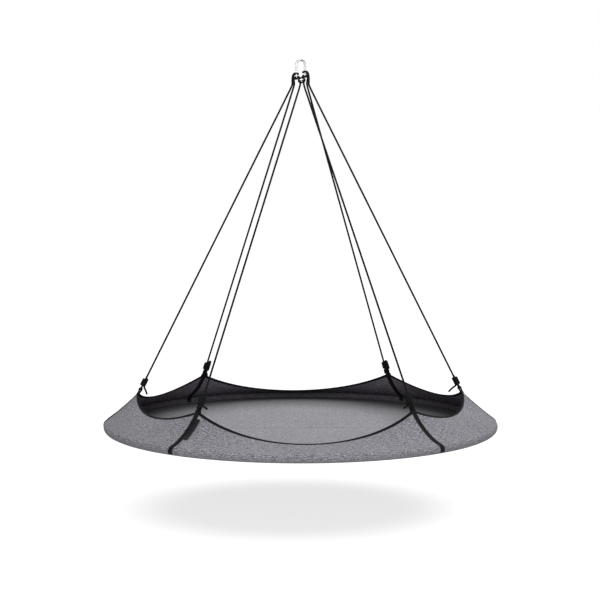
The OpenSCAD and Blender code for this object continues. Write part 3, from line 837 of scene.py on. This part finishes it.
# Each rope's hitch, and for its two legs the peak they are tied to and where they cross the swing line.
ROPES = [
    ("rope_left_pair", "hitch_left", 1, (2, -LEG_IN_X), (3, -LEG_OUT_X)),
    ("rope_front_pair", "hitch_middle", 0, (5, MIDDLE_X[1]), (4, MIDDLE_X[0])),
    ("rope_right_pair", "hitch_right", -1, (0, LEG_OUT_X), (1, LEG_IN_X)),
]
for name, hitch_node, side, (k_minus, x_minus), (k_plus, x_plus) in ROPES:
    fall_minus, fall_plus = rope_leg(k_minus, x_minus), rope_leg(k_plus, x_plus)
    path = list(reversed(fall_minus[1:])) + hitch(side) + fall_plus[1:]
    rope(name, path, (hitch_node, "rope_" + PLACES[k_minus], "rope_" + PLACES[k_plus]))

# ---- Side walls: one cloth a panel, from the scooped edge down and round under the ring's tube ----

SEAM_LEAN = {4: -1.3, 5: 1.3}  # degrees that the seams under these peaks spread towards the hem
WRAP_END = -96  # degrees round the tube to the cloth's hidden edge
WRAP_SHARE = 0.2  # of the cloth's rows lie round the tube
FOLDS_ROUND = 9  # to a full turn about a peak
FOLD_RISE = 0.0014
WALL_FALL = 0.21  # from edge to foot
PUCKER = 0.00025
WIDE_COLUMNS, SIDE_COLUMNS, WALL_ROWS = 64, 44, 36
WALL_CUT = 0.28  # height of the flat cloth


def foot_angle(a):
    """Where the wall leaves the tube at angle a round the ring: it stands straighter at the sides."""
    return FOOT_ANGLE + (SIDE_FOOT_ANGLE - FOOT_ANGLE) * math.cos(math.radians(a)) ** 4


def profile(edge, a, s):
    """The wall's curve in a section at angle a, from its foot at s = 0 to its edge at s = 1."""
    foot = Vector((RING_R, 0)) + polar(WALL_FOOT_R, foot_angle(a))
    knee = foot + polar(FLARE * (edge - foot).length, foot_angle(a) + 90)
    return (1 - s) ** 2 * foot + 2 * s * (1 - s) * knee + s * s * edge


def section(edge, a, v):
    """Cloth's own line in a section: round the tube first, then up the wall."""
    if v < WRAP_SHARE:
        return Vector((RING_R, 0)) + polar(WALL_FOOT_R, mix(WRAP_END, foot_angle(a), v / WRAP_SHARE))
    return profile(edge, a, (v - WRAP_SHARE) / (1 - WRAP_SHARE))


def seam_angle(i, height):
    """The angle round the ring at which the seam and strap under peak i stand, at that height."""
    return PEAK_ANGLES[i] + SEAM_LEAN.get(i, 0) * (1 - min(max(height / PEAK.y, 0), 1))


def edge_point(k, q):
    """The edge of panel k scoops down from a peak to its gap and up to the next."""
    return PEAK + (GAPS[k] - PEAK) * (1 - abs(2 * q - 1) ** EDGE_POWER)


def wall_spot(k, q, v):
    """Middle of the cloth. q from 0 to 1 runs between the two straps, and past them over their bands."""
    p0, p1 = section(PEAK, PEAK_ANGLES[k], v), section(PEAK, PEAK_ANGLES[k + 1], v)
    a0, a1 = seam_angle(k, p0.y), seam_angle(k + 1, p1.y)
    if q < 0:
        return turned(p0, a0) + tangent(a0) * mix(BAND, HALF_SEAM, -q)
    if q > 1:
        return turned(p1, a1) - tangent(a1) * mix(BAND, HALF_SEAM, q - 1)
    d0, d1 = (math.degrees(math.atan(BAND / p.x)) for p in (p0, p1))
    a = a0 + d0 + (a1 - a0 - d0 - d1) * q
    return turned(section(edge_point(k, q), a, v), a)


def wall_face(k, q, v, lift=0.0):
    """A point on the wall, lifted outwards from the cloth's middle, with its outward normal."""
    step = 0.004
    p = wall_spot(k, q, v)
    across = wall_spot(k, min(q + step, 1), v) - wall_spot(k, max(q - step, 0), v)
    if q < 0 or q > 1:
        across = tangent(PEAK_ANGLES[k] if q < 0 else PEAK_ANGLES[k + 1])
    up = wall_spot(k, q, min(v + step, 1)) - wall_spot(k, q, max(v - step, 0))
    n = across.cross(up).normalized()
    return p + n * lift, n


def tension(k, q, v):
    """Shallow folds that run down and outwards from the peaks, none at the edge or under a strap."""
    if q <= 0 or q >= 1 or v <= WRAP_SHARE:
        return 0.0
    s = (v - WRAP_SHARE) / (1 - WRAP_SHARE)
    span = 0.75 if GAPS[k] == SIDE_GAP else 1.2
    total = 0.0
    for near, seed in ((q, 3.1), (1 - q, 7.7)):
        along, down = near * span, (1 - s) * WALL_FALL
        away = math.hypot(along, down)
        if away < 0.002:
            continue
        angle = math.atan2(down, along)
        fade = smooth((away - 0.03) / 0.06) * (1 - smooth((away - 0.12) / 0.25))
        total += fade * math.sin(FOLDS_ROUND * angle + seed + k)
    rest = smooth(s / 0.2) * smooth((1 - s) / 0.25) * smooth(q / 0.05) * smooth((1 - q) / 0.05)
    return total * rest * FOLD_RISE


def panel_length(k):
    """How long panel k is from strap to strap, a little above half its height."""
    return Line([wall_spot(k, i / 24, 0.6) for i in range(25)], 0.01).length


def wall_panel(k, place_name):
    columns = WIDE_COLUMNS if GAPS[k] == WIDE_GAP else SIDE_COLUMNS
    length = panel_length(k)

    def share(u):
        """Two columns of cloth lie under each strap, and the others are even between the straps."""
        i = round(u * columns)
        if i < 3:
            return (-1, -0.5, 0)[i]
        if i > columns - 3:
            return (1, 1.5, 2)[i - columns + 2]
        return (i - 2) / (columns - 4)

    def place(u, v):
        q = share(u)
        p, n = wall_face(k, q, v, tension(k, q, v))
        pucker = 0.0
        if v < WRAP_SHARE:
            rumple = noise.noise(Vector((q * length * 40 + 9 * k, v * 20, 0)))
            pucker = PUCKER * rumple * smooth(v / 0.05)
        return p + n * pucker + RING_CENTRE

    bm = cloth_grid(columns, WALL_ROWS, place, lambda u, v: (share(u) * length + k, v * WALL_CUT))
    facing(bm, turned(Vector((1, 1)), (PEAK_ANGLES[k] + PEAK_ANGLES[k + 1]) / 2))
    # Outside in wall cloth; inside in the darker cloth that is painted shade for the inside of the bed.
    wall = finished(
        "wall_panel_" + place_name, bm, ("wall_cloth", "wall_inside_painted_shade"), "bed",
        ("wall_" + place_name,),
    )
    thicken(wall, WALL_T, 1)


for k, place_name in enumerate(PANELS):
    wall_panel(k, place_name)

# ---- Hem sleeve: the pocket round the tube, painted dark where it shows inside the bed, as painted shade ----

SLEEVE_CUT = (5.6, 0.106)  # length and girth of the flat cloth


def sleeve_place(u, v):
    a = 360 * u
    ripple = PUCKER * noise.noise(Vector((*polar(30, a), v * 3)))
    return turned(Vector((RING_R, 0)) + polar(SLEEVE_R - SLEEVE_T / 2 + ripple, 360 * v), a) + RING_CENTRE


bm = cloth_grid(240, 28, sleeve_place, lambda u, v: (u * SLEEVE_CUT[0], v * SLEEVE_CUT[1]), 1e-6)
# Painted shade: faces above the floor take the dark sleeve material, those below it the wall cloth.
for face in bm.faces:
    face.material_index = 1 if face.calc_center_median().z < RING_CENTRE.z + FLOOR_TOP - FLOOR_T else 0
sleeve = finished(
    "hem_sleeve_cloth", bm, ("sleeve_inside_painted_shade", "wall_cloth"), "bed", ("hem_sleeve",)
)
thicken(sleeve, SLEEVE_T)

# ---- Floor: one taut cloth ----

FLOOR_R = RING_R - math.sqrt(SLEEVE_R**2 - FLOOR_TOP**2) - 2 * SEAT
SAG = 0.0035
WAVES = 0.0006
FOLD_DEEP = 0.0012
FOLD_HALF = 0.006
FOLD_X, FOLD_Y = -0.03, -0.20  # its middle


def floor_place(u, v):
    """The floor sags a little, waves, and dips along the fold it was packed with."""
    p = polar(FLOOR_R * v, 360 * u)
    sag = SAG * (1 - v * v) + WAVES * noise.noise(Vector((p.x * 5, p.y * 7, 4))) * (1 - v)
    lengthwise = smooth((0.9 - abs(p.x - FOLD_X)) / 0.3)
    fold = FOLD_DEEP * math.exp(-(((p.y - FOLD_Y) / FOLD_HALF) ** 2)) * lengthwise * smooth((1 - v) / 0.2)
    return Vector((p.x, p.y, FLOOR_TOP - FLOOR_T / 2 - sag - fold)) + RING_CENTRE


bm = cloth_grid(120, 60, floor_place, lambda u, v: tuple(polar(FLOOR_R * v, 360 * u) + Vector((3, 3))), 1e-6)
floor_cloth = finished("floor_sheet", bm, "floor_cloth", "bed", ("floor_panel",))
thicken(floor_cloth, FLOOR_T)

FLOOR_SEAM_R = FLOOR_R - 0.009
HEM_SEAM = -84  # degrees round the tube
SEAM_STITCH, SEAM_THREAD = 0.005, 0.0004


def floor_seam(l):
    p = polar(FLOOR_SEAM_R, math.degrees(l / FLOOR_SEAM_R))
    return Vector((p.x, p.y, FLOOR_TOP)) + RING_CENTRE, Vector((0, 0, 1))


def hem_seam(l):
    a = math.degrees(l / RING_R)
    n = turned(polar(1, HEM_SEAM), a)
    return turned(Vector((RING_R, 0)), a) + n * (WALL_FOOT_R + WALL_T / 2) + RING_CENTRE, n


for name, radius, seam in (
    ("stitches_floor", FLOOR_SEAM_R, floor_seam),
    ("stitches_hem", RING_R, hem_seam),
):
    sewn(name, [(2 * math.pi * radius, seam)], "grey_thread", SEAM_STITCH, SEAM_THREAD)

# ---- Binding tape folded over each panel's edge ----

TAPE_HALF = TAPE_W / 2
TAPE_GAP = WALL_T / 2 + SEAT + TAPE_T / 2
TAPE_OVER = math.pi * TAPE_GAP / 2
TAPE_ROLL = 1.4  # how far the fold stands off the edge, in gaps
UNDER_STRAP = 0.4  # of the way from a strap's edge to its seam


def tape_spot(k, u, l):
    """A point on the tape and its outward normal: u along the edge, l across from the fold's middle."""
    q = mix(-UNDER_STRAP, 1 + UNDER_STRAP, u)
    top, n = wall_face(k, q, 1)
    low, _ = wall_face(k, q, 0.95)
    up = (top - low).normalized()
    if abs(l) <= TAPE_OVER:
        a = l / TAPE_GAP
        way = up * math.cos(a) + n * math.sin(a)
        return top + way * TAPE_GAP * TAPE_ROLL, way
    side = math.copysign(1, l)
    down = abs(l) - TAPE_OVER
    flat = TAPE_GAP * mix(TAPE_ROLL, 1, smooth(down / (0.7 * TAPE_HALF)))
    base, m = wall_face(k, q, 1 - down / (top - low).length * 0.05)
    return base + m * side * flat, m * side


def binding(k, place_name):
    """The tape on panel k's edge, with a row of stitches on either face."""
    columns = 100 if GAPS[k] == WIDE_GAP else 68
    length = panel_length(k)
    across = TAPE_HALF + TAPE_OVER

    def place(u, v):
        return tape_spot(k, u, (2 * v - 1) * across)[0] + RING_CENTRE

    bm = cloth_grid(columns, 22, place, lambda u, v: (u * length, v * 2 * across))
    piece = finished(
        "binding_tape_" + place_name, bm, "binding_tape", "bed", ("binding_" + place_name,)
    )
    thicken(piece, TAPE_T)

    def row(side):
        def spot(l):
            p, n = tape_spot(k, l / length, side * (TAPE_OVER + 0.75 * TAPE_HALF))
            return p + n * TAPE_T / 2 + RING_CENTRE, n

        return length, spot

    sewn("stitches_binding_" + place_name, [row(1), row(-1)], "black_thread")


for k, place_name in enumerate(PANELS):
    binding(k, place_name)

# ---- Webbing straps ----

LAP = WALL_T / 2 + 0.0004 + STRAP_T / 2  # from the middle of the wall to the middle of a strap
TAPE_UNDER = 0.0013  # more where the binding lies between
PINCHES = (0.0165, 0.007)  # below the eye's middle, where the two layers meet
STRAP_START = -38  # degrees round the tube, on the outside
STRAP_FINISH = (150, 162, 174, 184)  # the same, down the inside

# From the eye's middle along the strap: gathered to the eye's width, then opening to the full one.
GATHERED, OPENING = 0.014, 0.016
NECK_CURL, SHOULDER_CURL = 0.0028, 0.0042
STRAP_STITCH = 0.0032
EDGE_SEAM = 0.003  # in from the strap's edge
SEAM_FROM_EYE, CROSS_SEAM_FROM_EYE = 0.032, 0.044
EYE_SEAMS = (0.0165, 0.0185)


def offset(points, by, end_by=None):
    """The points moved sideways, by end_by instead near the last one where it is given."""
    last = len(points) - 1
    moved = []
    for i, p in enumerate(points):
        d = (points[min(i + 1, last)] - points[max(i - 1, 0)]).normalized()
        share = smooth((i / last - 0.85) / 0.1)
        moved.append(p + Vector((d.y, -d.x)) * (mix(by, end_by, share) if end_by else by))
    return moved


def strap_line(a):
    """Round the hem, up the outside, over the rope in a sewn eye, and down the inside to the floor."""
    wall = [profile(PEAK, a, s / 24) for s in range(25)]
    foot = foot_angle(a)
    centre = Vector((RING_R, 0))
    lean = math.degrees(math.atan2(LEAN_OUT.y, LEAN_OUT.x))
    over_tape = LAP + TAPE_UNDER
    outside = [centre + polar(WALL_FOOT_R + LAP, mix(STRAP_START, foot - 4, i / 16)) for i in range(17)]
    outside += offset(wall, LAP, over_tape)[1:]
    neck = [EYE_MID - LEAN * p for p in PINCHES]
    touch = LEAN_OUT * (STRAP_T / 2 + SEAT)
    eye = [EYE_MID + polar(ROPE_D / 2 + 2 * SEAT + STRAP_T / 2, lean + t) for t in range(-30, 211, 10)]
    inside = list(reversed(offset(wall, -LAP, -over_tape)[6:]))
    inside += [centre + polar(SLEEVE_R + 0.0008 + STRAP_T / 2, t) for t in STRAP_FINISH]
    points = outside + [p + touch for p in neck] + eye + [p - touch for p in reversed(neck)] + inside
    return Line([p.to_3d() for p in points], 0.0012)


STRAPS = {a: strap_line(a) for a in PEAK_ANGLES[:6]}


def eye_of(line):
    """How far along the strap its eye's middle is: the spot highest up the rope."""
    top = max(range(len(line.points)), key=lambda i: line.points[i].to_2d().dot(LEAN))
    return line.runs[top]


EYES = {a: eye_of(line) for a, line in STRAPS.items()}


def strap_spot(angle, l, x, lift=0.0):
    """A point on a strap: l along it, x across it, lifted off its middle."""
    line = STRAPS[angle]
    near_eye = abs(l - EYES[angle])
    gather = 1 - smooth((near_eye - GATHERED) / OPENING)
    width = mix(1.0, 2 * EYE_HALF / STRAP_W, gather)
    way = line.way(l)
    normal = Vector((way.y, -way.x))
    neck = smooth((near_eye - 0.01) / 0.004) * (1 - smooth((near_eye - 0.022) / 0.01))
    shoulder = 1 - smooth((near_eye - 0.028) / 0.018)
    curl = (SHOULDER_CURL * shoulder + NECK_CURL * neck) * (2 * x / STRAP_W) ** 2
    p = line.at(l).to_2d() + normal * (lift + curl)
    a = seam_angle(PEAK_ANGLES.index(angle), p.y)
    return turned(p, a) + tangent(a) * x * width + RING_CENTRE


def strap(k):
    """The strap under peak k: rows of stitches along its edges, and across its ends and its eye."""
    angle = PEAK_ANGLES[k]
    length = STRAPS[angle].length

    def place(u, v):
        return strap_spot(angle, u * length, (v - 0.5) * (STRAP_W - 0.001))

    bm = cloth_grid(int(length / 0.004), 12, place, lambda u, v: (u * length, v * STRAP_W))
    piece = finished("webbing_strap_" + PLACES[k], bm, "webbing", "bed", ("strap_" + PLACES[k],))
    thicken(piece, STRAP_T)
    bevel = piece.modifiers.new("Edges", "BEVEL")
    bevel.width, bevel.segments, bevel.limit_method, bevel.angle_limit = 0.0005, 2, "ANGLE", math.radians(50)

    def on_face(at, x):
        p, q = strap_spot(angle, at, x), strap_spot(angle, at, x, STRAP_T / 2)
        return q, (q - p).normalized()

    def along(start, end, x):
        return end - start, lambda l: on_face(start + l, x)

    def crosswise(at, half):
        return 2 * half, lambda l: on_face(at, l - half)

    edge = STRAP_W / 2 - EDGE_SEAM
    eye = EYES[angle]
    first, second, last = 0.004, 0.016, length - 0.006
    before, after = eye - SEAM_FROM_EYE, eye + SEAM_FROM_EYE
    rows = [along(first, before, x) for x in (-edge, edge)]
    rows += [along(after, last, x) for x in (-edge, edge)]
    rows += [crosswise(at, edge) for at in (first, second, before, eye - CROSS_SEAM_FROM_EYE, after, last)]
    rows += [crosswise(eye + way * seam, 0.6 * EYE_HALF) for way in (-1, 1) for seam in EYE_SEAMS]
    sewn("stitches_strap_" + PLACES[k], rows, "black_thread", STRAP_STITCH)


for k in range(6):
    strap(k)

# ---- Tab sewn in beside the front left strap, left bare ----

FRONT_LEFT = 4
TAB_X = STRAP_W / 2 + 0.6 * TAB_W
TAB_OUT = WALL_T / 2 + SEAT + STRAP_T + SEAT + TAB_T / 2
tab_wall = [profile(PEAK, PEAK_ANGLES[FRONT_LEFT], s) for s in (0.3, 0.5, 0.7, 0.86)]
TAB_LINE = Line([p.to_3d() for p in offset(tab_wall, TAB_OUT)], 0.004)


def tab_place(u, v):
    l = TAB_LINE.length * u
    curl = 0.0016 * v * v + 0.0004 * math.sin(u * 9) * v
    way = TAB_LINE.way(l)
    p = TAB_LINE.at(l).to_2d() + Vector((way.y, -way.x)) * curl
    a = seam_angle(FRONT_LEFT, p.y)
    return turned(p, a) + tangent(a) * (TAB_X + (v - 0.5) * TAB_W) + RING_CENTRE


bm = cloth_grid(24, 10, tab_place, lambda u, v: (u * 0.09, v * TAB_W))
thicken(finished("bare_tab", bm, "tab_satin", "bed", ("label_tab",)), TAB_T)

# ---- Stage and light ----

STUDIO_FLOOR = -HANG_DROP - 0.385
# Middle and spread of the painted shadow's ellipse on the studio floor.
PAINTED_SHADOW_MIDDLE = (0.048, 0.07, 0.0)
PAINTED_SHADOW_SPREAD = (1 / 0.69, 1 / 0.6, 0.0)
SKY = (0.42, 0.42, 0.425, 1)
WHITE = (1, 1, 1, 1)


def seen_directly(n):
    """1 where the eye sees the surface itself, in a mirror or through glass, 0 for its light."""
    ray = n.add("LightPath").outputs
    mirrored = n.math("MAXIMUM", ray["Is Camera Ray"], ray["Is Glossy Ray"])
    return n.math("MAXIMUM", mirrored, ray["Is Transmission Ray"])


def white_stage(name, tone, seen_tone, painted_shadow_glow):
    """Pale floor, white to the eye, with a painted shadow under the bed: its glow is dimmed in an ellipse
    there, and its faint real shadow adds to that; plain white further off.
    """
    m = bpy.data.materials.new(name)
    m.use_nodes = True
    n = Nodes(m.node_tree)
    shader = m.node_tree.nodes["Principled BSDF"]
    shader.inputs["Roughness"].default_value = 1
    shader.inputs["Specular IOR Level"].default_value = 0
    shader.inputs["Emission Color"].default_value = WHITE
    seen = seen_directly(n)
    tones = (tone, tone, tone, 1), (seen_tone, seen_tone, seen_tone, 1)
    n.feed(shader.inputs["Base Color"], n.blend(seen, *tones))
    spot = n.scaled(n.moved(n.add("TexCoord").outputs["Object"], PAINTED_SHADOW_MIDDLE), PAINTED_SHADOW_SPREAD)
    # Painted shadow: the glow falls to a grey inside an ellipse under the bed and rises to white towards its
    # rim.
    glow = n.band(n.far(spot, 0.7, 1.35), 0.0, 1.0, painted_shadow_glow, 1.0)
    n.feed(shader.inputs["Emission Strength"], n.math("MULTIPLY", seen, glow))
    return m


bm = bmesh.new()
bmesh.ops.create_circle(bm, cap_ends=True, segments=96, radius=45)
bmesh.ops.translate(bm, verts=bm.verts, vec=(0, 0, STUDIO_FLOOR))
ground = put_in_scene("studio_floor", mesh_of("studio_floor", bm))
ground.data.materials.append(white_stage("studio_white", tone=0.7, seen_tone=0.15, painted_shadow_glow=0.768))

world = bpy.data.worlds.new("studio")
bpy.context.scene.world = world
world.use_nodes = True
n = Nodes(world.node_tree)
sky = world.node_tree.nodes["Background"]
n.feed(sky.inputs["Color"], n.blend(seen_directly(n), SKY, WHITE))


def lamp(name, place, target, size, watts):
    """A round soft lamp that faces the target."""
    data = bpy.data.lights.new(name, "AREA")
    data.shape = "DISK"
    data.size = size
    data.energy = watts
    light = put_in_scene(name, data)
    light.location = place
    light.rotation_euler = (Vector(target) - Vector(place)).to_track_quat("-Z", "Y").to_euler()


lamp("top_light", (1.1, 0.9, 2.5), (0, 0, -1.7), size=7.0, watts=205)
lamp("front_light", (-0.3, -6.3, 0.4), (0, 0, -1.6), size=4.0, watts=190)

bpy.context.scene.view_settings.view_transform = "Standard"
